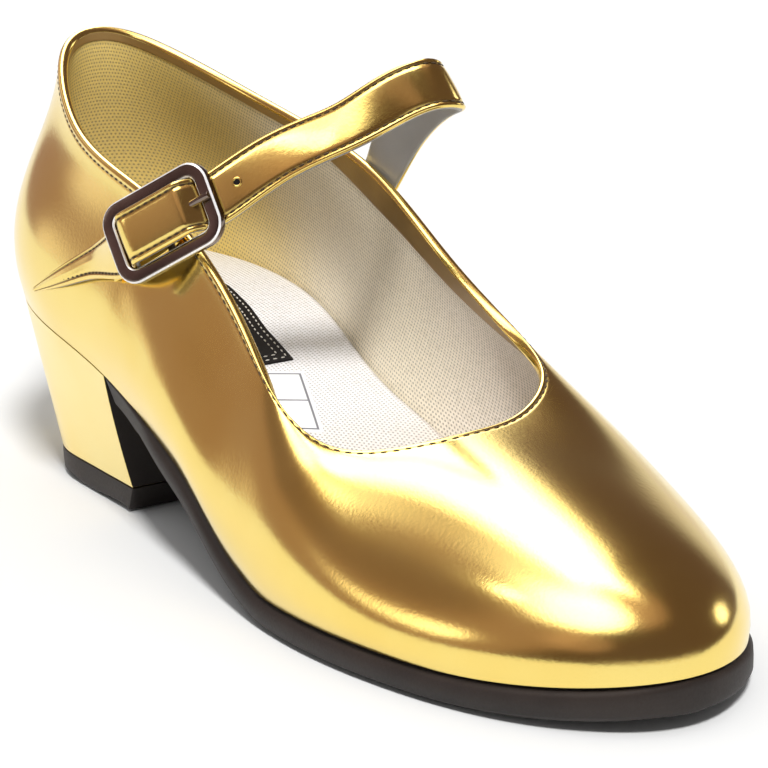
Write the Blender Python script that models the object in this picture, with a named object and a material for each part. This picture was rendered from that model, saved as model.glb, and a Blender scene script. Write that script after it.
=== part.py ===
"""Right flamenco shoe: hollow upper, outsole, covered block heel, insole, instep strap and buckle.

Sizes are in millimetres here and become metres when a mesh is made.
x runs from the back of the heel to the toe, y to the inner (medial) side, z up from the ground.
"""

import math

import bpy
import numpy as np

# Driving sizes, mm
LENGTH = 225.0
BALL_WIDTH = 71.0
HEEL_RISE = 38.8
COLLAR_HEIGHT = 89.3
TOE_SPRING = 3.3
WALL = 1.8
GAP = 0.3
SOLE_THICK = 5.8
WELT = 0.9
SOLE_BEVEL = 0.5
WAIST_TUCK = 1.9
WAIST_BLEND = 32.0
INSOLE_THICK = 2.4
INSOLE_CLEAR = 0.4
HEEL_TOP_LENGTH = 64.0
HEEL_BASE_BACK = 9.2
HEEL_BASE_FRONT = 61.6
HEEL_BASE_HALF = 22.6
HEEL_HOLLOW = 0.8
TIP_THICK = 5.6
TIP_RAKE = 2.4
STRAP_WIDTH = 10.4
STRAP_THICK = 1.6
TAIL_TAPER = 47.0
BUCKLE_LENGTH = 25.8
BUCKLE_WIDTH = 16.8
BUCKLE_CORNER = 3.9
BAR_WIDE = 3.0
BAR_THICK = 2.2
PIN_RADIUS = 0.8
PRONG_RADIUS = 0.75
TAB_WIDTH = 9.0
TAB_THICK = 0.9

# Mesh density
AROUND = 108
UP = 14

# Feather line in plan. Places along the shoe are in hundredths of LENGTH, widths from the middle line in
# hundredths of BALL_WIDTH. It closes in a full curve behind the seat and in half an ellipse ahead of the ball.
SEAT_X = 20
SEAT_HALF = 40
WAIST_X = 41
WAIST_OUTER = 43
WAIST_INNER = 32
OUTER_BALL_X = 63
INNER_BALL_X = 68
OUTER_BALL = 49
INNER_BALL = 51
HEEL_FULLNESS = 2.5
ELLIPSE = 2.0

# Opening in plan, in the same hundredths: round at the back, even along the quarters, wider at the throat.
BACK_TOP_X = 2
QUARTER_X = 30
QUARTER_HALF = 33
FLARE_FROM = 45
THROAT_FROM = 58
THROAT_HALF = 37
THROAT_X = 69
OPENING_SHIFT = 1

# Topline from the back to the throat: x in hundredths of LENGTH, height in hundredths of COLLAR_HEIGHT.
OUTER_TOPLINE = ((2, 100), (14, 87), (39, 73), (59, 45), (66, 37), (69, 40))
INNER_TOPLINE = ((2, 100), (14, 89), (39, 75), (59, 48), (69, 40))

# Sections of one side: one in the heel curve, then evenly from the heel to the toe. Their top points crowd
# towards the throat.
CURVE_X = 3
FIRST_X = 14
LAST_X = 93
EVEN_SECTIONS = 7
CROWDING = 1.6

# Wall of the upper along the shoe: x in hundredths of LENGTH, then a value. Rise and bulge (mm) shape it above
# the feather line, reach (share of the way to the foot point) and drop (mm) below the topline.
RISE = ((0, 22), (54, 14), (80, 14), (100, 17))
BULGE = ((0, 6), (28, 4), (41, 5), (80, 5), (100, 4))
REACH = ((0, 0.0), (3, 0.2), (14, 0.2), (66, 0.4), (100, 0.36))
DROP = ((0, 18), (80, 5), (100, 4))
# The outer wall stands fuller round the waist and is pulled straight beside the throat.
FULL_X = 50
FULL_SPAN = 30
FULL_BULGE = 1.5
FULL_DROP = 6
PULL_X = 80
PULL_SPAN = 20
PULL = 0.5

# Feather line from the heel seat down the arch to the ball: x in hundredths of LENGTH, lift in hundredths of
# the way from the forefoot up to HEEL_RISE. The toe spring starts ahead of the ball.
ARCH = ((0, 100), (20, 87), (44, 46), (56, 8), (62, 0), (100, 0))
SPRING_FROM = 80

# Buckle: its centre (mm), the way the strap runs through it, and the way across it.
BUCKLE_AT = np.array((90.0, -26.5, 66.0))
BUCKLE_ALONG = np.array((0.70, 0.52, 0.48))
BUCKLE_ACROSS = np.array((-0.54, -0.04, 0.84))

# Strap rows that stand free between the buckle and the inner quarter: middle point, and how far the upper
# edge turns to the inner side. The strap leans back by STRAP_LEAN degrees.
STRAP_LEAN = 40
LOOP_COLUMNS = ("x", "y", "z", "turn")
LOOP = (
    (102, -8, 78, 0.0),
    (110, 3, 84, 0.0),
    (114, 12, 89, 0.0),
    (117, 18, 91, 0.0),
    (116, 22, 90, -0.1),
    (110, 24, 88, -0.2),
    (93, 25, 78, -0.35),
)
# Strap rows that lie on a quarter: x, z and the height of the strap's middle above the leather.
TAIL_COLUMNS = ("x", "z", "lift")
TAIL = ((39, 44, 1.2), (52, 49, 1.2), (65, 54, 1.7))
SEWN = ((81, 65, 1.2), (73, 59, 1.2), (66, 54, 1.2))
TAIL_WAY = np.array((0.92, 0.06, 0.38))
SEWN_WAY = np.array((-0.78, 0.10, -0.62))
# Rows of the buckle's tab on the outer quarter, x and z.
TAB = ((70, 55), (74, 57), (78, 59))


def periodic_weights(places, count):
    """Matrix that gives a closed cubic spline through count evenly spaced knots, at the given places."""
    sides = np.roll(np.eye(count), 1, 0) + np.roll(np.eye(count), -1, 0)
    bends = np.linalg.solve(4 * np.eye(count) + sides, 6 * sides - 12 * np.eye(count))
    weights = np.zeros((len(places), count))
    for row, place in enumerate(places):
        knot = int(math.floor(place))
        part = place - knot
        first = knot % count
        second = (knot + 1) % count
        weights[row, first] += 1 - part
        weights[row, second] += part
        weights[row] += ((1 - part) ** 3 - (1 - part)) / 6 * bends[first]
        weights[row] += (part**3 - part) / 6 * bends[second]
    return weights


def monotone(places, knots, values):
    """Cubic curve through the values that never overshoots them."""
    places = np.clip(places, knots[0], knots[-1])
    steps = np.diff(knots)
    slopes = np.diff(values) / steps
    tangents = np.zeros(len(knots))
    tangents[0] = slopes[0]
    tangents[-1] = slopes[-1]
    for k in range(1, len(knots) - 1):
        if slopes[k - 1] * slopes[k] > 0:
            before = 2 * steps[k] + steps[k - 1]
            after = steps[k] + 2 * steps[k - 1]
            tangents[k] = (before + after) / (before / slopes[k - 1] + after / slopes[k])
    at = np.clip(np.searchsorted(knots, places, side="right") - 1, 0, len(steps) - 1)
    part = (places - knots[at]) / steps[at]
    start = values[at] * (1 + 2 * part) * (1 - part) ** 2
    end = values[at + 1] * part**2 * (3 - 2 * part)
    lean = tangents[at] * part * (1 - part) ** 2 + tangents[at + 1] * part**2 * (part - 1)
    return start + end + steps[at] * lean


def feather_height(x):
    """Height of the line where the upper meets the sole."""
    base = SOLE_THICK + GAP
    along = np.asarray(x, float) / LENGTH * 100
    knots, lifts = np.array(ARCH, float).T
    arch = monotone(along, knots, lifts) / 100 * (HEEL_RISE - base)
    spring = np.clip((along - SPRING_FROM) / (100 - SPRING_FROM), 0, None) ** 2 * TOE_SPRING
    return base + arch + spring


def eased(share):
    """Smooth step from 0 to 1."""
    share = np.clip(share, 0, 1)
    return share * share * (3 - 2 * share)


def swell(x, middle, span):
    """Smooth swell that is 1 at its middle and 0 a span away."""
    return 1 - eased(abs(x - middle) / span)


def rounded_end(x, full_x, end_x, fullness):
    """Share of the full width that is left at x, where an outline closes from full_x to end_x."""
    share = np.clip((x - full_x) / (end_x - full_x), 0, 1)
    return (1 - share**fullness) ** (1 / fullness)


def half_width(x, waist, ball, ball_x):
    """Width of the feather line on one side of the middle line, in hundredths of BALL_WIDTH."""
    if x < WAIST_X:
        width = SEAT_HALF + (waist - SEAT_HALF) * eased((x - SEAT_X) / (WAIST_X - SEAT_X))
    else:
        width = waist + (ball - waist) * eased((x - WAIST_X) / (ball_x - WAIST_X))
    return width * rounded_end(x, SEAT_X, 0, HEEL_FULLNESS) * rounded_end(x, ball_x, 100, ELLIPSE)


def opening_half(x):
    """Half the width of the opening, in hundredths of BALL_WIDTH."""
    flare = eased((x - FLARE_FROM) / (THROAT_FROM - FLARE_FROM))
    width = QUARTER_HALF + (THROAT_HALF - QUARTER_HALF) * flare
    return width * rounded_end(x, QUARTER_X, BACK_TOP_X, ELLIPSE) * rounded_end(x, THROAT_FROM, THROAT_X, ELLIPSE)


def section(x, side):
    """One section in mm: foot point, top point, then rise, bulge, reach and drop. Side is -1 outer, 1 inner."""
    top_x = BACK_TOP_X + (THROAT_X - BACK_TOP_X) * (1 - (1 - x / 100) ** CROWDING)
    if side < 0:
        width = half_width(x, WAIST_OUTER, OUTER_BALL, OUTER_BALL_X)
        full = swell(x, FULL_X, FULL_SPAN)
        slack = 1 - PULL * swell(x, PULL_X, PULL_SPAN)
        topline = OUTER_TOPLINE
    else:
        width = half_width(x, WAIST_INNER, INNER_BALL, INNER_BALL_X)
        full = 0
        slack = 1
        topline = INNER_TOPLINE
    knots, heights = np.array(topline, float).T
    top_y = OPENING_SHIFT + side * opening_half(top_x)
    top_z = monotone(top_x, knots, heights)
    rise, bulge, reach, drop = (np.interp(x, *zip(*curve)) for curve in (RISE, BULGE, REACH, DROP))
    foot = (x / 100 * LENGTH, side * width / 100 * BALL_WIDTH)
    top = (top_x / 100 * LENGTH, top_y / 100 * BALL_WIDTH, top_z / 100 * COLLAR_HEIGHT)
    return (*foot, *top, rise * slack, bulge + FULL_BULGE * full, reach, (drop + FULL_DROP * full) * slack)


def section_rows():
    """Sections round the shoe, from the back of the heel over the outer side to the toe and back."""
    side_x = (CURVE_X, *np.linspace(FIRST_X, LAST_X, EVEN_SECTIONS))
    outer = [section(x, -1) for x in side_x]
    inner = [section(x, 1) for x in side_x]
    return np.array([section(0, 1), *outer, section(100, 1), *inner[::-1]])


ROWS = section_rows()


def outline(places):
    """Feather line in plan and its outward direction, at places counted in section rows."""
    points = periodic_weights(places, len(ROWS)) @ ROWS[:, :2]
    ahead = periodic_weights(np.asarray(places) + 0.02, len(ROWS)) @ ROWS[:, :2]
    behind = periodic_weights(np.asarray(places) - 0.02, len(ROWS)) @ ROWS[:, :2]
    run = ahead - behind
    outward = np.column_stack([run[:, 1], -run[:, 0]])
    outward /= np.linalg.norm(outward, axis=1)[:, None]
    return points, outward


def place_where(x, start, stop):
    """Place between two section rows at which the feather line passes the given x."""
    tries = np.linspace(start, stop, 400)
    along = outline(tries)[0][:, 0]
    order = np.argsort(along)
    return float(np.interp(x, along[order], tries[order]))


def unit(vectors):
    return vectors / np.linalg.norm(vectors, axis=-1, keepdims=True)


def outer_surface():
    """Grid of points on the outside of the upper, round the shoe and from the feather line to the topline."""
    places = np.arange(AROUND) * len(ROWS) / AROUND
    values = periodic_weights(places, len(ROWS)) @ ROWS
    foot, outward = outline(places)
    top = values[:, 2:5]
    rise, bulge, reach, drop = values[:, 5:].T
    height = feather_height(foot[:, 0])
    first = np.column_stack([foot, height])
    second = np.column_stack([foot + outward * bulge[:, None], height + rise])
    third = np.column_stack([top[:, :2] + (foot - top[:, :2]) * reach[:, None], top[:, 2] - drop])
    t = np.linspace(0, 1, UP)[None, :, None]
    return (
        first[:, None] * (1 - t) ** 3
        + 3 * second[:, None] * t * (1 - t) ** 2
        + 3 * third[:, None] * t**2 * (1 - t)
        + top[:, None] * t**3
    )


def inner_surface(outer):
    """The outer grid moved inward by the wall, level with it along the feather line."""
    round_way = np.roll(outer, -1, 0) - np.roll(outer, 1, 0)
    up_way = np.gradient(outer, axis=1)
    normals = unit(np.cross(round_way, up_way))
    flat = normals.copy()
    flat[:, :, 2] = 0
    flat = unit(flat)
    share = np.clip(np.linspace(0, 1, UP) / 0.25, 0, 1)[None, :, None]
    blend = unit(flat * (1 - share) + normals * share)
    if np.sum(blend[:, 0, :2] * (outer[:, 0, :2] - (LENGTH / 2, 0))) < 0:
        blend = -blend
    return outer - WALL * blend


OUTER = outer_surface()
INNER = inner_surface(OUTER)


def on_quarter(side, x, z, lift):
    """Point above the outside of a quarter (side -1 outer, 1 inner) and the direction out of the leather."""
    half = OUTER[1 : AROUND // 2] if side < 0 else OUTER[AROUND // 2 + 1 :]
    columns = half if side < 0 else half[::-1]

    def depth(at_x, at_z):
        xs = [np.interp(at_z, column[:, 2], column[:, 0]) for column in columns if column[-1, 2] > at_z]
        ys = [np.interp(at_z, column[:, 2], column[:, 1]) for column in columns if column[-1, 2] > at_z]
        return np.interp(at_x, xs, ys)

    step = 1.5
    slope_x = (depth(x + step, z) - depth(x - step, z)) / (2 * step)
    slope_z = (depth(x, z) - depth(x, z - step)) / step
    normal = unit(np.array((-slope_x, 1.0, -slope_z)) * side)
    return np.array((x, depth(x, z), z)) + lift * normal, normal


def make_object(name, points, faces, colour, metallic, roughness):
    """Mesh object in metres with its own material and normals facing out."""
    mesh = bpy.data.meshes.new(name)
    mesh.from_pydata((np.asarray(points) * 0.001).tolist(), [], faces)
    material = bpy.data.materials.new(name)
    material.use_nodes = True
    shader = material.node_tree.nodes["Principled BSDF"]
    shader.inputs["Base Color"].default_value = (*colour, 1)
    shader.inputs["Metallic"].default_value = metallic
    shader.inputs["Roughness"].default_value = roughness
    mesh.materials.append(material)
    made = bpy.data.objects.new(name, mesh)
    bpy.context.scene.collection.objects.link(made)
    edit = bmesh_of(mesh)
    edit.to_mesh(mesh)
    edit.free()
    return made


def bmesh_of(mesh):
    import bmesh

    edit = bmesh.new()
    edit.from_mesh(mesh)
    bmesh.ops.recalc_face_normals(edit, faces=edit.faces)
    return edit


def skin(rings, closed):
    """Faces between neighbouring rings of equal length; closed also joins the last ring to the first."""
    count = len(rings[0])
    faces = []
    for level in range(len(rings) if closed else len(rings) - 1):
        low = level * count
        high = (level + 1) % len(rings) * count
        for i in range(count):
            j = (i + 1) % count
            faces.append((low + i, low + j, high + j, high + i))
    return faces


def lid(left, right, start):
    """Faces across a ring, from pairs of points that face each other."""
    faces = []
    for i in range(len(left) - 1):
        corners = [left[i], left[i + 1], right[i + 1], right[i]]
        kept = list(dict.fromkeys(corners))
        if len(kept) > 2:
            faces.append(tuple(start + k for k in kept))
    return faces


def stack(rings, left, right):
    """Solid from rings on top of each other, with a lid at each end."""
    count = len(rings[0])
    faces = skin(rings, False)
    faces += lid(left, right, 0)
    faces += lid(left, right, (len(rings) - 1) * count)
    return np.concatenate(rings), faces


def make_upper():
    count = AROUND
    levels = [OUTER[:, k] for k in range(UP)] + [INNER[:, k] for k in reversed(range(UP))]
    return np.concatenate(levels), skin(levels, True), count


def make_insole():
    rim = INNER[:, 0]
    centre = np.roll(rim, -1, 0) - np.roll(rim, 1, 0)
    inward = unit(np.column_stack([-centre[:, 1], centre[:, 0]]))
    plan = rim[:, :2] + inward * INSOLE_CLEAR
    soft = rim[:, :2] + inward * (INSOLE_CLEAR + 0.5)
    height = feather_height(rim[:, 0])
    rings = [
        np.column_stack([plan, height]),
        np.column_stack([plan, height + INSOLE_THICK - 0.5]),
        np.column_stack([soft, height + INSOLE_THICK]),
    ]
    half = AROUND // 2
    left = list(range(half + 1))
    right = [0] + list(range(AROUND - 1, half - 1, -1))
    return stack(rings, left, right)


def make_outsole():
    rows = len(ROWS)
    breast = HEEL_TOP_LENGTH + 2 * GAP
    steps = 44
    near = np.linspace(place_where(breast, 2.0, 5.0), 9.0, steps)
    far = np.linspace(9.0, place_where(breast, rows - 5.0, rows - 2.0), steps)
    plan, outward = outline(np.concatenate([near, far[1:]]))
    outward[[0, -1]] = ((0.0, -1.0), (0.0, 1.0))
    height = feather_height(plan[:, 0]) - GAP
    share = np.clip((plan[:, 0] - breast) / WAIST_BLEND, 0, 1)
    tuck = (1 - share * share * (3 - 2 * share))[:, None]
    edges = ((WELT - SOLE_BEVEL, 0.0), (WELT, SOLE_BEVEL), (WELT, SOLE_THICK - SOLE_BEVEL),
             (WELT - SOLE_BEVEL, SOLE_THICK))
    rings = []
    for out, down in edges:
        waist = -WAIST_TUCK * down / SOLE_THICK
        rings.append(np.column_stack([plan + outward * (out * (1 - tuck) + waist * tuck), height - down]))
    count = len(plan)
    left = list(range(steps))
    right = list(range(count - 1, steps - 2, -1))
    return stack(rings, left, right)


def heel_base(shares):
    """Points of the D-shaped heel base on one side, at shares of its length from the breast to the back."""
    turn = np.linspace(0, math.pi / 2, 60)
    middle = HEEL_BASE_BACK + HEEL_BASE_HALF * 1.05
    bow = np.column_stack([middle - HEEL_BASE_HALF * 1.05 * np.sin(turn), HEEL_BASE_HALF * np.cos(turn)])
    line = np.concatenate([[(HEEL_BASE_FRONT, HEEL_BASE_HALF * 1.02)], bow])
    run = np.concatenate([[0], np.cumsum(np.linalg.norm(np.diff(line, axis=0), axis=1))])
    at = np.asarray(shares) * run[-1]
    return np.column_stack([np.interp(at, run, line[:, 0]), np.interp(at, run, line[:, 1])])


def heel_plan():
    """Heel seat and heel base in plan, point for point, from the outer breast corner round the back."""
    rows = len(ROWS)
    steps = 22
    near = np.linspace(place_where(HEEL_TOP_LENGTH, 2.0, 5.0), 0.0, steps)
    far = np.linspace(rows, place_where(HEEL_TOP_LENGTH, rows - 5.0, rows - 2.0), steps)
    seat = outline(np.concatenate([near, far[1:]]))[0]
    run = np.concatenate([[0], np.cumsum(np.linalg.norm(np.diff(seat, axis=0), axis=1))])
    back = steps - 1
    near_share = run[:steps] / run[back]
    far_share = (run[-1] - run[steps:]) / (run[-1] - run[back])
    base = np.concatenate([heel_base(near_share) * (1, -1), heel_base(far_share)])
    left = list(range(steps))
    right = list(range(len(seat) - 1, steps - 2, -1))
    return seat, base, left, right


def make_heel():
    seat, base, left, right = heel_plan()
    top = feather_height(seat[:, 0]) - GAP
    bottom = TIP_THICK + GAP
    front = np.clip((seat[:, 0] - 40.0) / (HEEL_TOP_LENGTH - 40.0), 0, 1) ** 2
    rings = []
    for share in np.linspace(0, 1, 9):
        plan = seat * (1 - share) + base * share
        plan[:, 0] -= HEEL_HOLLOW * 4 * share * (1 - share) * front
        rings.append(np.column_stack([plan, top * (1 - share) + bottom * share]))
    return stack(rings, left, right)


def make_heel_tip():
    base, left, right = heel_plan()[1:]
    middle = base.mean(axis=0)
    raked = base.copy()
    raked[:, 0] -= TIP_RAKE * np.clip((base[:, 0] - middle[0]) / (HEEL_BASE_FRONT - middle[0]), 0, 1)
    small = middle + (raked - middle) * 0.975
    levels = ((base, TIP_THICK), (raked, 0.5), (small, 0.0))
    rings = [np.column_stack([plan, np.full(len(plan), z)]) for plan, z in levels]
    return stack(rings, left, right)


def buckle_axes():
    along = unit(BUCKLE_ALONG)
    across = unit(BUCKLE_ACROSS - along * (BUCKLE_ACROSS @ along))
    return along, across, np.cross(along, across)


ALONG, ACROSS, NORMAL = buckle_axes()


def buckle_point(a, b, n):
    """Point in the buckle's own directions: along the strap, across it and out of it."""
    return BUCKLE_AT + a * ALONG + b * ACROSS + n * NORMAL


def sweep(centres, firsts, seconds, shape, looped):
    """Solid that carries a closed cross-section along centres; firsts and seconds are its two directions."""
    rings = []
    for centre, first, second in zip(centres, firsts, seconds):
        rings.append(np.array([centre + u * first + v * second for u, v in shape]))
    faces = skin(rings, looped)
    if not looped:
        count = len(shape)
        faces.append(tuple(range(count)))
        faces.append(tuple((len(rings) - 1) * count + k for k in range(count)))
    return np.concatenate(rings), faces


def ring_shape(half_wide, half_thick, count):
    turns = [2 * math.pi * (k + 0.5) / count for k in range(count)]
    return [(half_wide * math.cos(t), half_thick * math.sin(t)) for t in turns]


def band_shape(wide, thick):
    """Flat band section with softened edges."""
    w = wide / 2
    t = thick / 2
    c = thick * 0.3
    return [(-w + c, -t), (w - c, -t), (w, -t + c), (w, t - c), (w - c, t), (-w + c, t), (-w, t - c),
            (-w, -t + c)]


def make_buckle_frame():
    half_a = (BUCKLE_LENGTH - BAR_WIDE) / 2
    half_b = (BUCKLE_WIDTH - BAR_WIDE) / 2
    radius = BUCKLE_CORNER - BAR_WIDE / 2
    centres = []
    outs = []
    for corner, (sa, sb) in enumerate(((1, 1), (-1, 1), (-1, -1), (1, -1))):
        for k in range(7):
            turn = (corner + k / 6) * math.pi / 2
            a = sa * (half_a - radius) + radius * math.cos(turn)
            b = sb * (half_b - radius) + radius * math.sin(turn)
            centres.append(buckle_point(a, b, 0))
            outs.append(math.cos(turn) * ALONG + math.sin(turn) * ACROSS)
    ups = [NORMAL] * len(centres)
    return sweep(centres, outs, ups, ring_shape(BAR_WIDE / 2, BAR_THICK / 2, 12), True)


def make_centre_pin():
    half_b = (BUCKLE_WIDTH - BAR_WIDE) / 2
    ends = [buckle_point(0, -half_b, 0), buckle_point(0, half_b, 0)]
    return sweep(ends, [ALONG] * 2, [NORMAL] * 2, ring_shape(PIN_RADIUS, PIN_RADIUS, 12), False)


def path_directions(points):
    """Unit directions along a run of points."""
    return unit(np.gradient(np.asarray(points), axis=0))


def make_prong():
    """Pin hooked round the centre bar, through the strap and onto the front bar."""
    radius = PIN_RADIUS + 0.2 + PRONG_RADIUS
    rest = BAR_THICK / 2 + 0.25 + PRONG_RADIUS
    turns = np.radians(np.linspace(345, 90, 14))
    path = [(radius * math.cos(t), radius * math.sin(t)) for t in turns]
    front = (BUCKLE_LENGTH - BAR_WIDE) / 2
    path += [(front * s, radius + (rest - radius) * s) for s in (0.25, 0.5, 0.75, 1.0)]
    path += [(front + 1.3, rest - 0.15)]
    centres = [buckle_point(a, 0, n) for a, n in path]
    seconds = [np.cross(way, ACROSS) for way in path_directions(centres)]
    return sweep(centres, [ACROSS] * len(path), seconds, ring_shape(PRONG_RADIUS, PRONG_RADIUS, 10), False)


def make_tab():
    """Strip from the outer quarter that loops round the centre bar."""
    radius = PIN_RADIUS + 0.2 + TAB_THICK / 2
    centres = []
    firsts = []
    for x, z in TAB:
        point, normal = on_quarter(-1, x, z, GAP + 0.15 + TAB_THICK / 2)
        centres.append(point)
        firsts.append(unit(np.cross(normal, TAIL_WAY)))
    turns = np.radians(np.linspace(-62, 165, 14))
    loop = [buckle_point(radius * math.cos(t), 0, radius * math.sin(t)) for t in turns]
    leave, twist = centres[-1], firsts[-1]
    for part in (0.2, 0.4, 0.6, 0.8):
        turned = min(1.0, part / 0.7)
        centres.append(leave * (1 - part) + loop[0] * part)
        firsts.append(unit(twist * (1 - turned) + ACROSS * turned))
    centres += loop
    firsts += [ACROSS] * len(loop)
    ways = path_directions(centres)
    firsts = [unit(first - way * (first @ way)) for first, way in zip(firsts, ways)]
    seconds = [np.cross(way, first) for first, way in zip(firsts, ways)]
    return sweep(centres, firsts, seconds, band_shape(TAB_WIDTH, TAB_THICK), False)


def strap_rows():
    """Middle points of the strap and the way across it, from the tail to the end sewn inside."""
    points = []
    across = []
    for x, z, lift in TAIL:
        point, normal = on_quarter(-1, x, z, lift)
        points.append(point)
        across.append(unit(np.cross(normal, TAIL_WAY)))
    reach = (BUCKLE_LENGTH - BAR_WIDE) / 2
    under = BAR_THICK / 2 + GAP + STRAP_THICK / 2
    over = PIN_RADIUS + 0.2 + TAB_THICK + 0.9 + STRAP_THICK / 2
    for part in (-1.0, -0.72, -0.36, 0.0, 0.36, 0.72, 1.0):
        swing = (1 - math.cos(math.pi * part)) / 2
        points.append(buckle_point(reach * part, 0, over - (over + under) * swing))
        across.append(ACROSS)
    lean = math.radians(STRAP_LEAN)
    for x, y, z, turn in LOOP:
        points.append(np.array((x, y, z), float))
        across.append(unit(np.array((-math.sin(lean), turn, math.cos(lean)))))
    for x, z, lift in SEWN:
        point, normal = on_quarter(1, x, z, lift)
        points.append(point)
        across.append(unit(np.cross(normal, SEWN_WAY)))
    return np.array(points), np.array(across)


def open_spline(rows, places):
    """Natural cubic spline through the rows, spaced by the distance between them."""
    run = np.concatenate([[0], np.cumsum(np.sqrt(np.linalg.norm(np.diff(rows[:, :3], axis=0), axis=1)))])
    count = len(rows)
    system = np.eye(count)
    right = np.zeros(rows.shape)
    for k in range(1, count - 1):
        before = run[k] - run[k - 1]
        after = run[k + 1] - run[k]
        system[k, k - 1 : k + 2] = (before, 2 * (before + after), after)
        right[k] = 6 * ((rows[k + 1] - rows[k]) / after - (rows[k] - rows[k - 1]) / before)
    bends = np.linalg.solve(system, right)
    at = np.clip(np.searchsorted(run, places * run[-1], side="right") - 1, 0, count - 2)
    width = (run[at + 1] - run[at])[:, None]
    b = (places * run[-1])[:, None] / width - (run[at])[:, None] / width
    a = 1 - b
    curve = a * rows[at] + b * rows[at + 1]
    return curve + ((a**3 - a) * bends[at] + (b**3 - b) * bends[at + 1]) * width**2 / 6


def make_strap():
    points, across = strap_rows()
    dense = open_spline(np.hstack([points, across]), np.linspace(0, 1, 900))
    run = np.concatenate([[0], np.cumsum(np.linalg.norm(np.diff(dense[:, :3], axis=0), axis=1))])
    stations = np.linspace(0, run[-1], 92)
    rows = np.column_stack([np.interp(stations, run, dense[:, k]) for k in range(6)])
    centres = rows[:, :3]
    ways = path_directions(centres)
    firsts = unit(rows[:, 3:] - ways * np.sum(rows[:, 3:] * ways, axis=1, keepdims=True))
    seconds = np.cross(ways, firsts)
    taper = np.minimum(1.0, 0.10 + stations / TAIL_TAPER)
    rounding = np.minimum(1.0, 0.55 + (run[-1] - stations) / 5.0)
    rings = []
    for centre, first, second, wide in zip(centres, firsts, seconds, taper * rounding):
        shape = band_shape(STRAP_WIDTH * wide, STRAP_THICK)
        rings.append(np.array([centre + u * first + v * second for u, v in shape]))
    faces = skin(rings, False)
    count = len(rings[0])
    faces.append(tuple(range(count)))
    faces.append(tuple((len(rings) - 1) * count + k for k in range(count)))
    return np.concatenate(rings), faces


def slot_cutter(start, stop, half, low, high):
    """Block in the buckle's directions that opens a slot for the prong."""
    corners = []
    for a, b in ((start, -half), (stop, -half), (stop, half), (start, half)):
        corners.append(buckle_point(a, b, low))
    for a, b in ((start, -half), (stop, -half), (stop, half), (start, half)):
        corners.append(buckle_point(a, b, high))
    faces = [(0, 1, 2, 3), (4, 5, 6, 7), (0, 1, 5, 4), (1, 2, 6, 5), (2, 3, 7, 6), (3, 0, 4, 7)]
    return np.array(corners), faces


def add_boolean(target, helper, operation):
    helper.hide_render = True
    helper.display_type = "WIRE"
    modifier = target.modifiers.new("Boolean", "BOOLEAN")
    modifier.operation = operation
    modifier.solver = "EXACT"
    modifier.object = helper


def main():
    for old in list(bpy.data.objects):
        bpy.data.objects.remove(old, do_unlink=True)
    gold = (0.72, 0.47, 0.13)
    solids = {
        "upper": (*make_upper()[:2], gold, 1.0, 0.22),
        "outsole": (*make_outsole(), (0.02, 0.018, 0.016), 0.0, 0.6),
        "heel": (*make_heel(), gold, 1.0, 0.22),
        "heel_tip": (*make_heel_tip(), (0.02, 0.018, 0.016), 0.0, 0.6),
        "insole": (*make_insole(), (0.72, 0.71, 0.68), 0.6, 0.4),
        "strap": (*make_strap(), gold, 1.0, 0.22),
        "buckle_frame": (*make_buckle_frame(), (0.62, 0.60, 0.58), 1.0, 0.12),
        "buckle_prong": (*make_prong(), (0.62, 0.60, 0.58), 1.0, 0.15),
        "buckle_tab": (*make_tab(), gold, 1.0, 0.3),
    }
    everything = np.concatenate([solid[0] for solid in solids.values()])
    low = everything.min(axis=0)
    high = everything.max(axis=0)
    shift = np.array(((low[0] + high[0]) / 2, (low[1] + high[1]) / 2, low[2]))
    print("origin is at", np.round(shift, 3), "mm from the back of the feather line")
    made = {}
    for name, (points, faces, colour, metallic, roughness) in solids.items():
        made[name] = make_object(name, points - shift, faces, colour, metallic, roughness)
    steel = ((0.62, 0.60, 0.58), 1.0, 0.12)
    points, faces = make_centre_pin()
    add_boolean(made["buckle_frame"], make_object("cut_pin", points - shift, faces, *steel), "UNION")
    points, faces = slot_cutter(1.0, 6.8, 1.15, -3.0, 6.0)
    add_boolean(made["strap"], make_object("cut_strap_slot", points - shift, faces, *steel), "DIFFERENCE")
    points, faces = slot_cutter(-3.4, 3.4, 1.15, -3.6, 3.0)
    add_boolean(made["buckle_tab"], make_object("cut_tab_slot", points - shift, faces, *steel), "DIFFERENCE")


main()
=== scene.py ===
# %% [markdown]
# # A gold flamenco shoe, dressed from its CAD frame
# The frame holds the solids of the shoe: upper, sole, heel, insole, strap and buckle. This lesson reads
# their shapes back and gives them what a solid lacks: folded edges, seams, stitches, linings and finishes.
# Everything is in metres, with +X towards the toe, +Y towards the inner side of the foot and +Z up.

# %% Load the frame
import math

import bmesh
import bpy
import numpy as np
from mathutils import Matrix, Vector
from mathutils.bvhtree import BVHTree


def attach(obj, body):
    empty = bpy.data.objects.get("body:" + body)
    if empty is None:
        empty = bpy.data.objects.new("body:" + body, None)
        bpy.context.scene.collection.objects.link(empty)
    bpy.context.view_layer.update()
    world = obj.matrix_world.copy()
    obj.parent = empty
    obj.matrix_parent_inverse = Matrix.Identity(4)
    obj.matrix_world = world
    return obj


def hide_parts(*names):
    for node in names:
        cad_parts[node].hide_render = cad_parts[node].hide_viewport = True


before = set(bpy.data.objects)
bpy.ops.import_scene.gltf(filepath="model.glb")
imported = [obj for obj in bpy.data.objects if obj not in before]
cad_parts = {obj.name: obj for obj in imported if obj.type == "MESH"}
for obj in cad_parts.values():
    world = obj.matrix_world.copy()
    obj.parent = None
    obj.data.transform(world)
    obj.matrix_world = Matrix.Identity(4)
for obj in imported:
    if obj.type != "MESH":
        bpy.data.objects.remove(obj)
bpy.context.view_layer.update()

MM = 0.001

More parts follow.
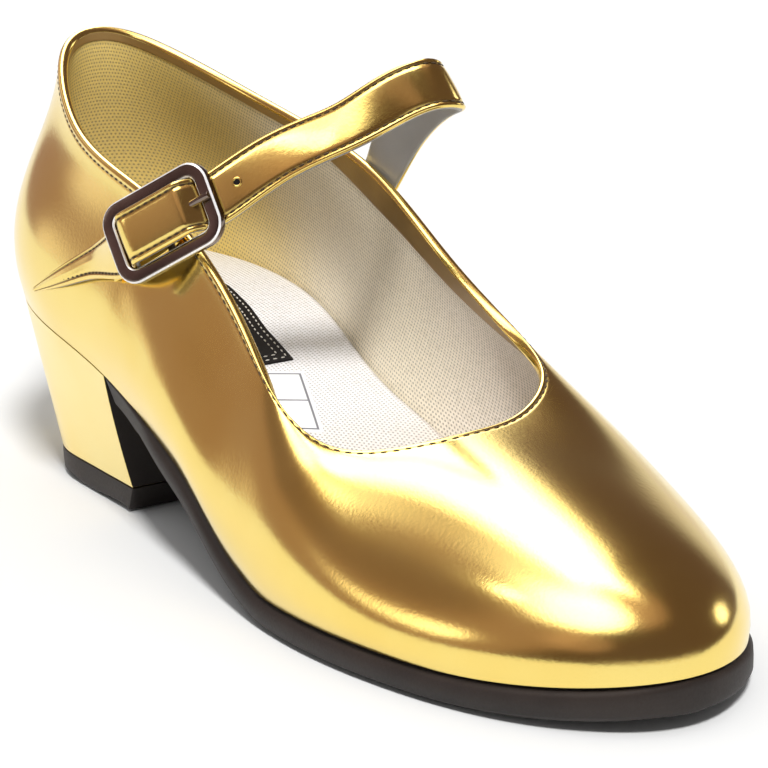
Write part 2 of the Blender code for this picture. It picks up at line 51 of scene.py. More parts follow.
# %% [markdown]
# ## Camera
# The photograph was taken from in front of the toe, on the outer side, a little above the shoe and with a
# long lens. The camera is described by where it aims and by its angles, so each can be nudged alone.
# The same numbers turn a pixel of the photograph into a ray, which later places small details.

# %% Camera
IMAGE_SIDE = 768
FOCAL_PIXELS = 3550.0
AIM = Vector((22.1, -5.7, 40.5)) * MM
DISTANCE = 652 * MM
AZIMUTH = math.radians(60.6)
ELEVATION = math.radians(15.6)
ROLL = math.radians(-2.4)

back = Vector((
    math.sin(AZIMUTH) * math.cos(ELEVATION),
    -math.cos(AZIMUTH) * math.cos(ELEVATION),
    math.sin(ELEVATION),
))
level = Vector((math.cos(AZIMUTH), math.sin(AZIMUTH), 0))
rise = back.cross(level)
right = level * math.cos(ROLL) + rise * math.sin(ROLL)
up = rise * math.cos(ROLL) - level * math.sin(ROLL)

lens = bpy.data.cameras.new("photo_camera")
lens.sensor_width = 36
lens.lens = lens.sensor_width * FOCAL_PIXELS / IMAGE_SIDE
lens.clip_start = 0.01
camera = bpy.data.objects.new("photo_camera", lens)
bpy.context.scene.collection.objects.link(camera)
turned = Matrix((right, up, back)).transposed().to_4x4()
camera.matrix_world = Matrix.Translation(AIM + back * DISTANCE) @ turned
bpy.context.scene.camera = camera


def pixel_way(x, y):
    """Direction from the camera through a pixel of the photograph."""
    middle = IMAGE_SIDE / 2
    return (right * (x - middle) - up * (y - middle) - back * FOCAL_PIXELS).normalized()


print("lens, mm:", round(lens.lens, 1))

# %% [markdown]
# ## Finishes as formulas
# A procedural material is a small calculation. Wiring it node by node hides that, so one class wraps a
# number that runs through the material and lets Python's own operators add the Math nodes. A second
# class holds the material and has one method that makes any other node.


# %% Shader helpers
class Value:
    """One output of a material's nodes."""

    def __init__(self, finish, socket):
        self.finish = finish
        self.socket = socket

    def math(self, operation, *others):
        sockets = {place: value for place, value in enumerate((self, *others))}
        return self.finish.add("Math", {"operation": operation}, sockets)

    def __add__(self, other):
        return self.math("ADD", other)

    __radd__ = __add__

    def __sub__(self, other):
        return self.math("SUBTRACT", other)

    def __rsub__(self, other):
        return self.finish.add("Math", {"operation": "SUBTRACT"}, {0: other, 1: self})

    def __mul__(self, other):
        return self.math("MULTIPLY", other)

    __rmul__ = __mul__

    def __truediv__(self, other):
        return self.math("DIVIDE", other)

    def between(self, low, high):
        """0 below low, 1 above high, with soft ends."""
        settings = {"interpolation_type": "SMOOTHSTEP"}
        return self.finish.add("MapRange", settings, {"Value": self, "From Min": low, "From Max": high})

    def near(self, middle, half):
        """1 at middle, falling to 0 at a distance of half."""
        return (1 - (self - middle).math("ABSOLUTE") / half).math("MAXIMUM", 0)


class Finish:
    """A material, made of one Principled shader and the nodes that feed it."""

    def __init__(self, name, constants):
        self.material = bpy.data.materials.new(name)
        self.material.use_nodes = True
        self.tree = self.material.node_tree
        self.shader = self.tree.nodes["Principled BSDF"]
        for socket, value in constants.items():
            self.feed(socket, value)

    def add(self, kind, settings=(), sockets=(), output=0):
        node = self.tree.nodes.new("ShaderNode" + kind)
        for name, value in dict(settings).items():
            setattr(node, name, value)
        for name, value in dict(sockets).items():
            self.join(value, node.inputs[name])
        return Value(self, node.outputs[output])

    def join(self, value, socket):
        if isinstance(value, Value):
            self.tree.links.new(value.socket, socket)
        else:
            socket.default_value = value

    def feed(self, name, value):
        self.join(value, self.shader.inputs[name])

    def place(self):
        return self.add("TexCoord", output="Object")

    def stored(self, name):
        """Number that is stored on the mesh under a name."""
        return self.add("Attribute", {"attribute_name": name}, {}, "Fac")

    def noise(self, size, detail=2.0, place=None):
        """Cloudy noise with patches of about the given size in metres."""
        place = place or self.place()
        return self.add("TexNoise", {}, {"Vector": place, "Scale": 1 / size, "Detail": detail})

    def mix(self, share, first, second):
        """Colour between first and second."""
        return self.add("Mix", {"data_type": "RGBA"}, {0: share, 6: first, 7: second}, 2)

    def bump(self, height, depth, strength=1.0):
        """Feeds a height, given in units of depth metres, to the shader's normal."""
        sockets = {"Height": height, "Distance": depth, "Strength": strength}
        self.feed("Normal", self.add("Bump", {}, sockets))


def colour(red, green, blue):
    return (red, green, blue, 1.0)


# %% [markdown]
# ## The gold foil
# The leather carries a metallic foil, so it shines like soft metal: the colour comes from the reflection
# and a slight coat lies over it. Three sizes of noise keep it from looking like polished brass: clouds of
# tone, fine specks in the roughness, and a leather grain in the bump. The distance below a folded edge is
# stored on the mesh, and painted shade darkens the groove in which the stitches lie.

# %% Gold leather
BELOW_EDGE = "below_edge"
STITCH_BELOW = 1.6
GROOVE_HALF = 0.4


def gold_finish(name, pale, deep, roughness, painted_groove_shade=0.5):
    finish = Finish(name, {"Metallic": 1.0, "Coat Weight": 0.12, "Coat Roughness": 0.12})
    clouds = finish.noise(22 * MM)
    specks = finish.noise(0.5 * MM, 1.0)
    grain = finish.noise(0.9 * MM, 3.0)
    below = finish.stored(BELOW_EDGE)
    groove = below.near(STITCH_BELOW, GROOVE_HALF)
    tone = finish.mix(clouds.between(0.3, 0.75), pale, deep)
    tone = finish.mix(specks.between(0.52, 0.8) * 0.35, tone, deep)
    # Painted shade: the stitch groove is darkened towards a deep brown.
    finish.feed("Base Color", finish.mix(groove * painted_groove_shade, tone, colour(0.12, 0.065, 0.02)))
    finish.feed("Roughness", roughness + specks * 0.08 + groove * 0.2)
    finish.bump(grain + specks * 0.6, 0.04 * MM, 0.3)
    return finish.material


gold_leather = gold_finish("gold_leather", colour(0.94, 0.73, 0.22), colour(0.92, 0.68, 0.18), 0.13)
# The strap's finish paints a stronger shade into its stitch grooves.
gold_strap = gold_finish("gold_strap", colour(0.94, 0.73, 0.22), colour(0.92, 0.68, 0.18), 0.13, 0.9)
gold_heel = gold_finish("gold_heel_cover", colour(0.95, 0.78, 0.29), colour(0.94, 0.72, 0.22), 0.2)
print("finishes:", gold_leather.name, gold_heel.name)

# %% [markdown]
# ## Lining and insole
# Inside, a lining runs from olive gold round the heel to silver grey at the front; the olive gold is a
# painted reflection of the gold walls and painted shade. It and the insole cover are pricked with rows of
# tiny holes.
# The rows follow two distances: round the shoe and below the topline on the lining, where both are stored on
# the mesh, and along and across the shoe on the insole.

# %% Lining finishes
LINING_RUN = "lining_run"
HOLE_PITCH = 0.8
HEEL_TO_WAIST = (-98, -46)
WAIST_TO_FRONT = (-25, 18)


def pinholes(across, down):
    """1 inside the tiny holes of a staggered pattern, by two distances, mm."""
    line = down / HOLE_PITCH
    first = (across / HOLE_PITCH + line.math("FLOOR") * 0.5).math("FRACT") - 0.5
    second = line.math("FRACT") - 0.5
    return 1 - (first * first + second * second).math("SQRT").between(0.18, 0.34)


def lining_finish(name, flat, heel, waist, front):
    """Pricked lining, its tone changing from the heel over the waist to the front."""
    finish = Finish(name, {"Coat Weight": 0.0})
    along, aside = (finish.add("SeparateXYZ", {}, {"Vector": finish.place()}, axis) / MM for axis in "XY")
    if flat:
        dots = pinholes(along, aside)
    else:
        dots = pinholes(finish.stored(LINING_RUN), finish.stored(BELOW_EDGE))
    weave = finish.noise(0.7 * MM, 1.0)
    place = along + (finish.noise(30 * MM) - 0.5) * 30
    # On the lining the heel tone is olive gold, a painted reflection of the gold walls and painted shade.
    tone = finish.mix(place.between(*HEEL_TO_WAIST), heel, waist)
    tone = finish.mix(place.between(*WAIST_TO_FRONT), tone, front)
    tone = finish.mix(weave.between(0.4, 0.75) * 0.2, tone, colour(0.36, 0.30, 0.20))
    finish.feed("Base Color", finish.mix(dots * 0.6, tone, colour(0.12, 0.10, 0.07)))
    finish.feed("Metallic", 0.05)
    finish.feed("Roughness", 0.42 + weave * 0.12)
    finish.bump(weave - dots * 0.8, 0.08 * MM, 0.6)
    return finish.material


# Its olive gold heel colour is painted reflection of the gold walls and painted shade.
silver_lining = lining_finish(
    "silver_lining", False, colour(0.70, 0.52, 0.16), colour(0.95, 0.86, 0.68), colour(0.93, 0.84, 0.74)
)
silver_insole = lining_finish(
    "silver_insole", True, colour(0.82, 0.80, 0.77), colour(0.83, 0.82, 0.83), colour(0.66, 0.58, 0.48)
)
print("lining finishes:", silver_lining.name, silver_insole.name)

# %% [markdown]
# ## Rubber, metal, thread and paper
# Sole and top piece are matt black rubber. The buckle is dark polished metal; its rims get a pale copy of it,
# a painted highlight. The thread is a brown that nearly sinks into its groove. All of them are two tones in
# clouds with a fine grain.


# %% Other finishes
def plain_finish(name, pale, deep, grain_size, roughness, metallic=0.0, depth=0.04, shine=0.5):
    """Finish with two tones in clouds and a fine grain."""
    finish = Finish(name, {"Metallic": metallic, "Specular IOR Level": shine})
    clouds = finish.noise(14 * MM)
    grain = finish.noise(grain_size)
    finish.feed("Base Color", finish.mix(clouds.between(0.3, 0.7), pale, deep))
    finish.feed("Roughness", roughness + (grain - 0.5) * 0.2)
    finish.bump(grain, depth * MM, 0.5)
    return finish.material


silver_strap = plain_finish(
    "silver_strap_back", colour(0.42, 0.41, 0.40), colour(0.34, 0.33, 0.32), 0.6 * MM, 0.45, 0.3
)
black_rubber = plain_finish(
    "black_rubber", colour(0.020, 0.014, 0.011), colour(0.013, 0.009, 0.007), 0.5 * MM, 0.62
)
buckle_metal = plain_finish(
    "buckle_metal", colour(0.24, 0.19, 0.16), colour(0.15, 0.12, 0.10), 2.0 * MM, 0.16, 1.0, 0.01
)
# A pale, less metallic copy of the buckle metal for the rims: painted highlight.
painted_rim_highlight = plain_finish(
    "painted_rim_highlight", colour(0.93, 0.92, 0.91), colour(0.80, 0.79, 0.78), 2.0 * MM, 0.25, 0.4, 0.01
)
facing_gold = plain_finish(
    "gold_facing", colour(0.33, 0.20, 0.065), colour(0.27, 0.16, 0.05), 0.7 * MM, 0.38, 0.3
)
thread = plain_finish("brown_thread", colour(0.06, 0.035, 0.012), colour(0.04, 0.022, 0.008), 0.3 * MM, 0.6)
pale_thread = plain_finish("pale_thread", colour(0.70, 0.67, 0.60), colour(0.58, 0.55, 0.48), 0.3 * MM, 0.6)
black_pad = plain_finish(
    "black_pad", colour(0.010, 0.009, 0.009), colour(0.006, 0.005, 0.005), 0.4 * MM, 0.7, shine=0.15
)
print("finishes:", len(bpy.data.materials))

# %% [markdown]
# ## From CAD solid to bmesh and back
# A CAD node comes as loose triangles. Welding them and pairing them into quads gives a copy that bevels and
# subdivides cleanly. Each finished piece rides on the shoe's one body and hides the nodes it stands for.


# %% Copy and finish helpers
def welded(node, paired=True):
    """Copy of a CAD node with its triangles joined."""
    mesh = bmesh.new()
    mesh.from_mesh(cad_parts[node].data)
    bmesh.ops.remove_doubles(mesh, verts=mesh.verts, dist=0.002 * MM)
    if paired:
        half_turn = math.pi
        bmesh.ops.join_triangles(
            mesh, faces=mesh.faces, angle_face_threshold=half_turn, angle_shape_threshold=half_turn
        )
    for face in mesh.faces:
        face.material_index = 0
    return mesh


def sharp_edges(mesh, degrees):
    return [e for e in mesh.edges if len(e.link_faces) == 2 and e.calc_face_angle() > math.radians(degrees)]


def soften(edges, mesh, width, segments=3):
    bmesh.ops.bevel(
        mesh, geom=edges, offset=width, offset_type="OFFSET", affect="EDGES", segments=segments,
        profile=0.5, material=-1, clamp_overlap=True,
    )


def make_piece(mesh, name, finishes, nodes=(), levels=0, smooth_degrees=40):
    """Object from a bmesh, with its finishes, that rides on the shoe."""
    data = bpy.data.meshes.new(name)
    mesh.to_mesh(data)
    mesh.free()
    for finish in finishes:
        data.materials.append(finish)
    data.shade_smooth()
    data.set_sharp_from_angle(angle=math.radians(smooth_degrees))
    piece = bpy.data.objects.new(name, data)
    bpy.context.scene.collection.objects.link(piece)
    if levels:
        rounder = piece.modifiers.new("Smooth", "SUBSURF")
        rounder.levels = levels
        rounder.render_levels = levels
    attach(piece, "root")
    if nodes:
        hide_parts(*nodes)
    print(name, "has", len(data.polygons), "faces")
    return piece


# %% [markdown]
# ## Reading the upper's grid
# The CAD upper was swept from rows of points round the last, so its vertices form a grid that closes both
# ways. Reading the rows back in order lets the dressed upper follow the very same surface, but with rows
# where a shoemaker needs them. Four sharp rings bound the leather: the feather line, where it meets the
# sole, and the topline, each outside and inside. The walk starts on the outer feather line and goes up.


# %% Walk the rows of the upper
def ring_in_order(members):
    """Vertices of a ring in the order in which their own edges join them."""
    left = set(members)
    ring = [min(left, key=lambda v: v.index)]
    while ring[-1] is not None:
        here = ring[-1]
        left.discard(here)
        ways = [e.other_vert(here) for e in here.link_edges if e.other_vert(here) in left]
        ring.append(min(ways, key=lambda v: v.index) if ways else None)
    return ring[:-1]


def sharp_rings(mesh, degrees):
    """Rings of vertices joined by sharp edges, each in order."""
    rings = []
    sharp = set(sharp_edges(mesh, degrees))
    left = {v for e in sharp for v in e.verts}
    while left:
        ring = [min(left, key=lambda v: v.index)]
        while True:
            left.discard(ring[-1])
            ways = [e.other_vert(ring[-1]) for e in ring[-1].link_edges if e in sharp]
            ways = [v for v in ways if v in left]
            if not ways:
                break
            ring.append(min(ways, key=lambda v: v.index))
        rings.append(ring)
    return rings


def next_row(row, done):
    """The row beside this one, its vertices matched one to one along the edges between the two."""
    beside = {e.other_vert(v) for v in row for e in v.link_edges} - set(row) - done
    ring = ring_in_order(beside)
    joined = {(v, e.other_vert(v)) for v in row for e in v.link_edges}
    best = None
    for way in (ring, ring[::-1]):
        for shift in range(len(ring)):
            turned = way[shift:] + way[:shift]
            links = sum(pair in joined for pair in zip(row, turned))
            length = sum((a.co - b.co).length for a, b in zip(row, turned))
            if best is None or (links, -length) > best[0]:
                best = ((links, -length), turned)
    return best[1]


upper_copy = welded("upper", paired=False)
upper_copy.verts.index_update()
rings = sorted(sharp_rings(upper_copy, 45), key=len)[-4:]
rings.sort(key=lambda ring: sum(v.co.z for v in ring))
feather = max(rings[:2], key=lambda ring: max(v.co.x for v in ring))
inner_feather = min(rings[:2], key=lambda ring: max(v.co.x for v in ring))
heel_back = min(range(len(feather)), key=lambda k: feather[k].co.x)
feather = feather[heel_back:] + feather[:heel_back]
if feather[1].co.y > feather[0].co.y:
    feather = feather[:1] + feather[:0:-1]
rows = [feather]
done = set(feather) | set(inner_feather)
while len(rows) < 40:
    found = next_row(rows[-1], done)
    rows.append(found)
    done |= set(found)
    if any(e.other_vert(found[0]) in inner_feather for e in found[0].link_edges):
        break
rows.append(next_row(rows[-1], done - set(inner_feather)))
walls = np.array([[tuple(v.co) for v in row] for row in rows])
half_rows = len(rows) // 2
outside = walls[:half_rows].transpose(1, 0, 2)
inside = walls[:half_rows - 1:-1].transpose(1, 0, 2)
upper_copy.free()
print("upper grid:", [len(ring) for ring in rings], walls.shape)

# %% [markdown]
# ## Rows where a shoemaker wants them
# Between the CAD rows a cubic curve gives points that stay on the last. Each row of the dressed upper is
# asked for by its distance below the topline, so that the folded edge, the stitched groove and the facing
# inside all run parallel to it, as they do when a maker marks them with a compass.


# %% Curves through the grid
def cubic(points, places, closed):
    """Catmull-Rom curve through points, at places counted in points."""
    if closed:
        padded = np.concatenate([points[-1:], points, points[:2]])
    else:
        padded = np.concatenate([2 * points[:1] - points[1:2], points, 2 * points[-1:] - points[-2:-1]])
    at = np.clip(np.floor(places).astype(int), 0, len(padded) - 4)
    part = (places - at).reshape((-1,) + (1,) * (points.ndim - 1))
    a, b, c, d = (padded[at + k] for k in range(4))
    return b + 0.5 * part * (c - a + part * (2 * a - 5 * b + 4 * c - d + part * (3 * (b - c) + d - a)))


COLUMNS = 2 * outside.shape[0]
round_places = np.arange(COLUMNS) / 2
outer_wall = cubic(outside, round_places, True)
inner_wall = cubic(inside, round_places, True)


def down_from_topline(wall, distances):
    """Points of each column of a wall at distances below the topline."""
    fine = np.linspace(0, wall.shape[1] - 1, 160)
    points = np.zeros((len(wall), distances.shape[1], 3))
    for k, column in enumerate(wall):
        dense = cubic(column[::-1], fine, False)
        run = np.concatenate([[0], np.cumsum(np.linalg.norm(np.diff(dense, axis=0), axis=1))])
        places = np.interp(distances[k], run, fine)
        points[k] = cubic(column[::-1], places, False)
    return points


def wall_lengths(wall):
    return np.linalg.norm(np.diff(wall, axis=1), axis=2).sum(axis=1)


def unit(vectors):
    return vectors / np.linalg.norm(vectors, axis=-1, keepdims=True)


def outward(points):
    """Unit normals of a wall given from the topline down."""
    round_way = np.roll(points, -1, 0) - np.roll(points, 1, 0)
    down_way = np.gradient(points, axis=1)
    return unit(np.cross(down_way, round_way))


def eased(values, low, high):
    """0 below low, 1 above high, with soft ends."""
    share = np.clip((values - low) / (high - low), 0, 1)
    return share * share * (3 - 2 * share)


outer_length = wall_lengths(outer_wall)
print("wall heights, mm:", round(outer_length.min() / MM, 1), "to", round(outer_length.max() / MM, 1))

# %% [markdown]
# ## The upper
# On the real shoe the leather is turned over at the top, sewn down a couple of millimetres below the fold,
# and lined with a facing strip and a woven lining. One closed shell follows all of that: up the outside,
# over the rounded fold, and down the inside. A grid is bent into place and its edges are welded shut.
# The shoe is new and its leather smooth, so the creases are few, shallow and listed: two pixels of
# the photograph give the ends of each one.

# %% Shell of the upper
EDGE_ROWS = (9.0, 7.5, 6.0, 5.0, 4.2, 3.5, 3.0, 2.6, 2.3, 2.0, 1.8, 1.6, 1.4, 1.2, 1.0)
FACING_WIDE = 7.0
FACING_SLIM = 2.8
FACING_ROWS = (1.0, 1.6, 2.4, 3.2, 4.2, 5.4, 6.4, 6.8, 7.0, 7.3, 7.8, 8.6)
WALL_ROWS = 26
FOLD_STEPS = 8
GROOVE_DEPTH = 0.12
FOLD_LIFT = 0.08
FACING_LIFT = 0.25
FACING_WIDENS = (-62, -22)
LEATHER, FACING, LINING = range(3)
INSIDE_MARK = 100


def outer_lift(below):
    """Height of the leather over the last's surface, by the distance below the topline, mm."""
    groove = -GROOVE_DEPTH * np.exp(-(((below - STITCH_BELOW) / 0.35) ** 2))
    fold = FOLD_LIFT / (1 + np.exp((below - STITCH_BELOW) / 0.15))
    return groove + fold


def inner_lift(below):
    return FACING_LIFT / (1 + np.exp((below - FACING_WIDE) / 0.12))


def row_distances(lengths, rows_near, count):
    """Distances below the topline for each column, mm: near rows as given, the rest shared out evenly."""
    near = np.array(rows_near)
    shares = np.linspace(0, 1, count)[1:]
    rest = near.max() + shares[None, :] * (lengths[:, None] / MM - near.max())
    return np.hstack([np.tile(np.sort(near), (len(lengths), 1)), rest])


outer_below = row_distances(outer_length, EDGE_ROWS, WALL_ROWS)
outer_points = down_from_topline(outer_wall, outer_below * MM)
outer_normals = outward(outer_points)
if np.sum(outer_normals[:, -1, :2] * outer_points[:, -1, :2]) < 0:
    outer_normals = -outer_normals

# Two pixels for the ends of a crease, then its depth and half its width, mm
CREASES = (
    ((634, 569), (676, 554), 0.18, 2.4),
    ((290, 470), (352, 462), 0.14, 3.2),
    ((118, 300), (140, 356), 0.14, 3.2),
)


def on_wall(pixel):
    """Point of the outer wall that a pixel of the photograph shows."""
    sight = np.array(pixel_way(*pixel))
    beside = np.linalg.norm(np.cross(outer_points - np.array(camera.matrix_world.translation), sight), axis=2)
    beside[outer_normals @ sight > 0] = 1
    return outer_points[np.unravel_index(beside.argmin(), beside.shape)]


def from_line(points, start, stop):
    """Distances of points from the straight line between two of them."""
    way = stop - start
    share = np.clip((points - start) @ way / (way @ way), 0, 1)
    return np.linalg.norm(points - start - share[..., None] * way, axis=-1)


crease = np.zeros(outer_below.shape)
for first, second, depth, half in CREASES:
    away = from_line(outer_points, on_wall(first), on_wall(second)) / (half * MM)
    crease += depth * np.exp(-away * away)
print("deepest crease, mm:", round(float(crease.max()), 2))
outer_rows = outer_points + outer_normals * (outer_lift(outer_below) - crease)[:, :, None] * MM

facing_below = row_distances(wall_lengths(inner_wall), FACING_ROWS, WALL_ROWS)
facing_wide = FACING_SLIM + (FACING_WIDE - FACING_SLIM) * eased(inner_wall[:, -1, 0] / MM, *FACING_WIDENS)
squeeze = np.clip((facing_below - 1) / (FACING_WIDE - 1), 0, None)
slimmer = 1 + squeeze * (facing_wide[:, None] - 1)
inner_below = np.where(facing_below < FACING_WIDE, slimmer, facing_below - FACING_WIDE + facing_wide[:, None])
wider_rest = np.clip((facing_below - FACING_WIDE - 2) / 20, 0, 1)
inner_below += wider_rest * (FACING_WIDE - facing_wide[:, None])
inner_points = down_from_topline(inner_wall, inner_below * MM)
inner_normals = -outward(inner_points)
if np.sum(inner_normals[:, -1, :2] * inner_points[:, -1, :2]) > 0:
    inner_normals = -inner_normals
inner_rows = inner_points + inner_normals * inner_lift(facing_below)[:, :, None] * MM

fold_start = outer_rows[:, 0]
fold_end = inner_rows[:, 0]
fold_middle = (fold_start + fold_end) / 2
fold_side = (fold_start - fold_end) / 2
fold_up = (outer_wall[:, -1] + inner_wall[:, -1]) / 2 - fold_middle
turns = np.linspace(0, math.pi, FOLD_STEPS + 1)[1:-1]
fold_rows = np.stack(
    [fold_middle + fold_side * math.cos(t) + fold_up * math.sin(t) for t in turns], axis=1
)
shell = np.concatenate([outer_rows[:, ::-1], fold_rows, inner_rows], axis=1)
fold_below = np.zeros(fold_rows.shape[:2])
shell_below = np.concatenate([outer_below[:, ::-1], fold_below, inner_below + INSIDE_MARK], axis=1)
print("shell rows:", shell.shape)

# %% [markdown]
# ## Bending a grid
# Blender's own grid gives the faces, and each vertex is moved to its point of the shell. The two open seams
# then meet exactly, so removing doubles closes them. Each vertex keeps its row, and the row decides whether
# a face is leather, facing or lining.


# %% Bend a grid into the shell
def bent_grid(points, close_round, close_rows):
    """Grid of quads through an array of points, welded where it closes."""
    if close_round:
        points = np.concatenate([points, points[:1]])
    if close_rows:
        points = np.concatenate([points, points[:, :1]], axis=1)
    across = points.shape[0] - 1
    along = points.shape[1] - 1
    mesh = bmesh.new()
    bmesh.ops.create_grid(mesh, x_segments=across, y_segments=along, size=0.5)
    index = mesh.verts.layers.int.new("row")
    for vert in mesh.verts:
        i = round((vert.co.x + 0.5) * across)
        j = round((vert.co.y + 0.5) * along)
        vert[index] = i * (along + 1) + j
        vert.co = points[i, j]
    bmesh.ops.remove_doubles(mesh, verts=mesh.verts, dist=0.001 * MM)
    bmesh.ops.recalc_face_normals(mesh, faces=mesh.faces)
    return mesh, index, along + 1


upper_mesh, upper_index, upper_span = bent_grid(shell, True, True)
below_layer = upper_mesh.verts.layers.float.new(BELOW_EDGE)
run_layer = upper_mesh.verts.layers.float.new(LINING_RUN)
round_line = inner_rows[:, inner_rows.shape[1] // 2]
round_steps = np.linalg.norm(np.roll(round_line, -1, 0) - round_line, axis=1) / MM
lining_run = np.cumsum(round_steps) - round_steps
lining_run = np.minimum(lining_run, round_steps.sum() - lining_run)
row_of = {}
for vert in upper_mesh.verts:
    column, row = divmod(vert[upper_index], upper_span)
    row_of[vert] = row % shell.shape[1]
    vert[below_layer] = shell_below[column % COLUMNS, row % shell.shape[1]]
    vert[run_layer] = lining_run[column % COLUMNS]
first_fold = outer_rows.shape[1]
first_inside = first_fold + fold_rows.shape[1]
first_lining = first_inside + FACING_ROWS.index(FACING_WIDE) + 1
for face in upper_mesh.faces:
    rows_here = [row_of[v] for v in face.verts]
    lowest = min(rows_here)
    if max(rows_here) - lowest > 2:
        face.material_index = LINING
    elif lowest >= first_lining - 1:
        face.material_index = LINING
    elif lowest >= first_inside:
        face.material_index = FACING
    else:
        face.material_index = LEATHER
make_piece(
    upper_mesh, "upper_shell", [gold_leather, facing_gold, silver_lining], ["upper"], 0, 60
)

# %% [markdown]
# ## Stitches along the topline
# A stitch is a short fat thread end that dips at both ends, so a stretched ball with few faces is enough.
# Each one lies in the groove, along the edge, at the same spacing all the way round.

# %% Topline stitches
STITCH_STEP = 2.2
STITCH_LONG = 1.35
STITCH_WIDE = 0.5
STITCH_HIGH = 0.42


def add_stitch(mesh, place, along, out, share):
    """Stretched ball that lies along a direction, at a share of the usual stitch size."""
    turned = Matrix((along, along.cross(out), out)).transposed().to_4x4()
    size = Matrix.Diagonal([side * share / 2 * MM for side in (STITCH_LONG, STITCH_WIDE, STITCH_HIGH)] + [1])
    bmesh.ops.create_uvsphere(
        mesh, u_segments=8, v_segments=5, radius=1.0,
        matrix=Matrix.Translation(place) @ turned @ size @ Matrix.Rotation(math.pi / 2, 4, "Y"),
    )


def stitch_run(mesh, line, normals, step, closed, share=1.0):
    """Stitches at even steps along a line of points."""
    if closed:
        line = np.concatenate([line, line[:1]])
        normals = np.concatenate([normals, normals[:1]])
    run = np.concatenate([[0], np.cumsum(np.linalg.norm(np.diff(line, axis=0), axis=1))])
    count = int(round(run[-1] / (step * MM)))
    for k in range(count):
        here, ahead = ((k + 0.5) * run[-1] / count + move for move in (0, 0.3 * MM))
        place = Vector([np.interp(here, run, line[:, axis]) for axis in range(3)])
        further = Vector([np.interp(ahead, run, line[:, axis]) for axis in range(3)])
        out = Vector([np.interp(here, run, normals[:, axis]) for axis in range(3)])
        along = (further - place).normalized()
        out = (out - along * out.dot(along)).normalized()
        add_stitch(mesh, place, along, out, share)
    return count


topline_mesh = bmesh.new()
groove_row = sorted(EDGE_ROWS).index(STITCH_BELOW)
count = stitch_run(topline_mesh, outer_rows[:, groove_row], outer_normals[:, groove_row], STITCH_STEP, True)
make_piece(topline_mesh, "topline_stitches", [thread], smooth_degrees=180)
print("topline stitches:", count)

# %% [markdown]
# ## Heel, top piece, sole and insole
# These are solid blocks on the real shoe too, so their CAD shapes are kept: the copy's sharp edges are
# beveled and a subdivision surface rounds the rest. The heel's front, the breast, is left black.

# %% Heel
heel_mesh = welded("heel")
soften(sharp_edges(heel_mesh, 50), heel_mesh, 0.7 * MM)
bmesh.ops.recalc_face_normals(heel_mesh, faces=heel_mesh.faces)
for face in heel_mesh.faces:
    face.material_index = 1 if face.normal.x > 0.8 else 0
make_piece(heel_mesh, "heel_block", [gold_heel, black_rubber], ["heel"], 2, 180)

# %% [markdown]
# ## Rubber pieces and insole
# The sole, the top piece and the insole only need their edges broken, so one function copies a node, bevels
# its sharp edges and gives it one finish. Moulded rubber has a small radius on every edge.


# %% Rubber pieces and insole
def soft_copy(node, name, finish, width, levels=1, degrees=40):
    mesh = welded(node)
    soften(sharp_edges(mesh, degrees), mesh, width * MM)
    bmesh.ops.recalc_face_normals(mesh, faces=mesh.faces)
    return make_piece(mesh, name, [finish], [node], levels, 180)


soft_copy("outsole", "sole", black_rubber, 0.35, 1, 60)
soft_copy("heel_tip", "top_piece", black_rubber, 0.35, 1, 60)
insole = soft_copy("insole", "insole_cover", silver_insole, 0.3, 1, 50)

# %% [markdown]
# ## Heel pad and sticker
# A black pad is glued on the insole under the heel, sewn twice round its edge, and a paper sticker lies in
# front of it. Each is laid out flat from above and then dropped on the insole with rays, so that it follows
# the insole's curve and lies on it. A sheet gets its thickness by extruding it downwards.

# %% Drop a sheet on the insole
insole_tree = BVHTree.FromObject(insole, bpy.context.evaluated_depsgraph_get())


def on_insole(flat, lift):
    """Points on the insole straight below flat points (x, y), mm, raised by lift."""
    points = np.zeros(flat.shape[:-1] + (3,))
    for at in np.ndindex(flat.shape[:-1]):
        hit = insole_tree.ray_cast(Vector((*flat[at], 200)) * MM, Vector((0, 0, -1)))[0]
        points[at] = hit + Vector((0, 0, lift * MM))
    return points


def sheet(flat, lift, thick, layers=()):
    """Thin sheet on the insole. Layers store the flat coordinates, measured by given lengths."""
    mesh, index, span = bent_grid(on_insole(flat, lift), False, False)
    for axis, (name, length) in enumerate(layers):
        layer = mesh.verts.layers.float.new(name)
        for vert in mesh.verts:
            place = divmod(vert[index], span)[axis]
            vert[layer] = place * length / (flat.shape[axis] - 1)
    lower = bmesh.ops.extrude_face_region(mesh, geom=mesh.faces)["geom"]
    lower = [v for v in lower if isinstance(v, bmesh.types.BMVert)]
    bmesh.ops.translate(mesh, vec=(0, 0, -thick * MM), verts=lower)
    bmesh.ops.recalc_face_normals(mesh, faces=mesh.faces)
    return mesh


# %% [markdown]
# ## The heel pad
# The pad has straight sides that narrow to the front and a round end at the heel. Its half width is read from
# a few places along it. The same outline, drawn a little inside the edge, carries the two rows of stitches.

# %% Heel pad
PAD_MIDDLE = -2.2
PAD_FRONT = -36.0
PAD_WIDTHS = ((-84.0, 13.0), (-72.0, 13.6), (-60.0, 12.0), (-49.0, 9.8), (-36.0, 8.7))
PAD_END, PAD_ROUND = PAD_WIDTHS[0]


def pad_half(x):
    """Half the pad's width at a place along the shoe."""
    past = np.clip((PAD_END - x) / PAD_ROUND, 0, 1)
    return np.interp(x, *zip(*PAD_WIDTHS)) * np.sqrt(1 - past * past)


def pad_outline(inset):
    """Closed line inside the pad's edge."""
    side_x = np.linspace(PAD_FRONT - inset, PAD_END, 30)
    turn = np.linspace(0, math.pi, 24)[1:-1]
    side = pad_half(side_x) - inset
    half = np.concatenate([side, (PAD_ROUND - inset) * np.cos(turn), -side[::-1]])
    x = np.concatenate([side_x, PAD_END - (PAD_ROUND - inset) * np.sin(turn), side_x[::-1]])
    return np.column_stack([x, PAD_MIDDLE + half])


